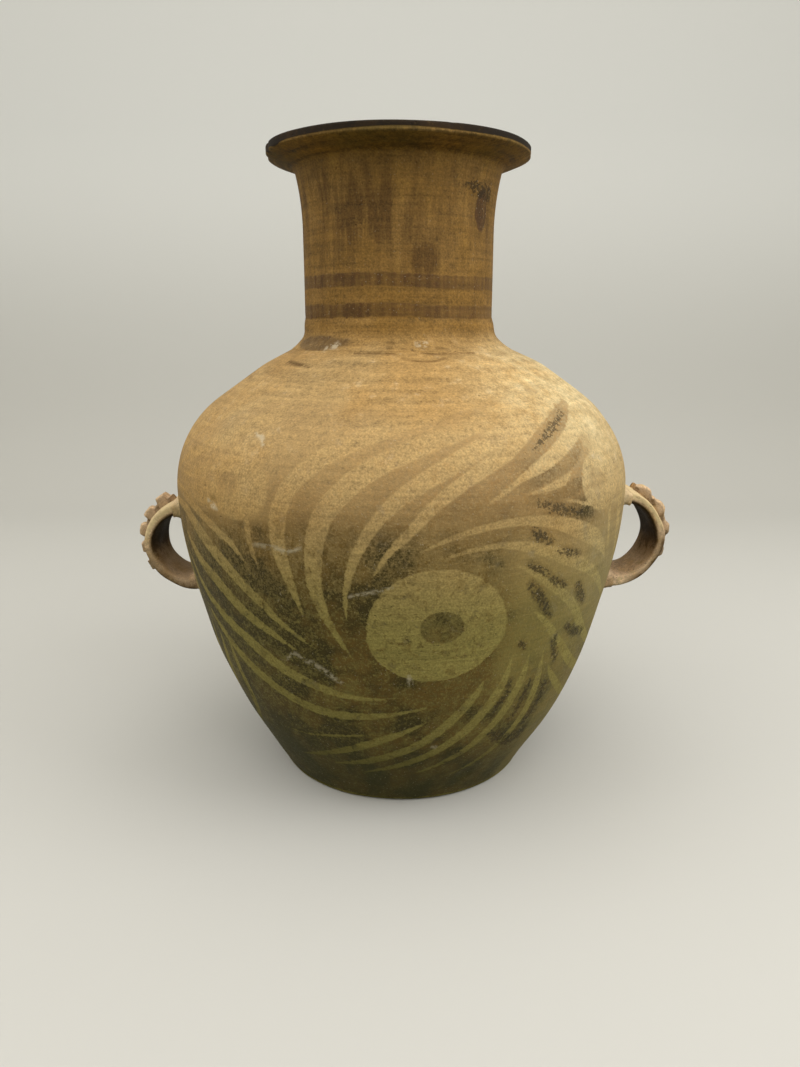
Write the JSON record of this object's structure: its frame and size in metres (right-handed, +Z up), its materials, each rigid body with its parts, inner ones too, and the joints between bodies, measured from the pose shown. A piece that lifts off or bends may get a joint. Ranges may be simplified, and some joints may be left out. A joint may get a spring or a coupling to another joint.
{
  "type": "painted storage jar",
  "caption": "Coil-built clay storage jar with a tall neck, everted rim, high round shoulder, flat foot, notched loop handles and whirl painting.",
  "frame": {"origin": "centre of the flat foot, on the surface that the jar stands on", "axes": "+Z up along the jar's axis, +X towards the right handle as seen from the painted front, -Y towards the viewer"},
  "size_m": [0.3502, 0.282, 0.3815],
  "materials": {
    "painted_clay": "matte",
    "painted_rim": "matte",
    "handle_clay": "matte",
    "inner_clay": "matte",
    "worn_clay": "matte"
  },
  "bodies": {
    "root": {"base_disc": "worn_clay", "base_joint_coil": "inner_clay", "lower_wall_coil_1": "painted_clay", "lower_wall_coil_2": "painted_clay", "lower_wall_coil_3": "painted_clay", "lower_wall_coil_4": "painted_clay", "shoulder_coil_1": "painted_clay", "shoulder_coil_2": "painted_clay", "shoulder_coil_3": "painted_clay", "neck_coil_1": "painted_clay", "neck_coil_2": "painted_clay", "neck_joint_coil": "painted_clay", "rim": "painted_rim", "left_handle_strap": "handle_clay", "left_handle_ridge": "handle_clay", "left_handle_upper_pad": "handle_clay", "left_handle_lower_pad": "handle_clay", "right_handle_strap": "handle_clay", "right_handle_ridge": "handle_clay", "right_handle_upper_pad": "handle_clay", "right_handle_lower_pad": "handle_clay"}
  },
  "joints": []
}
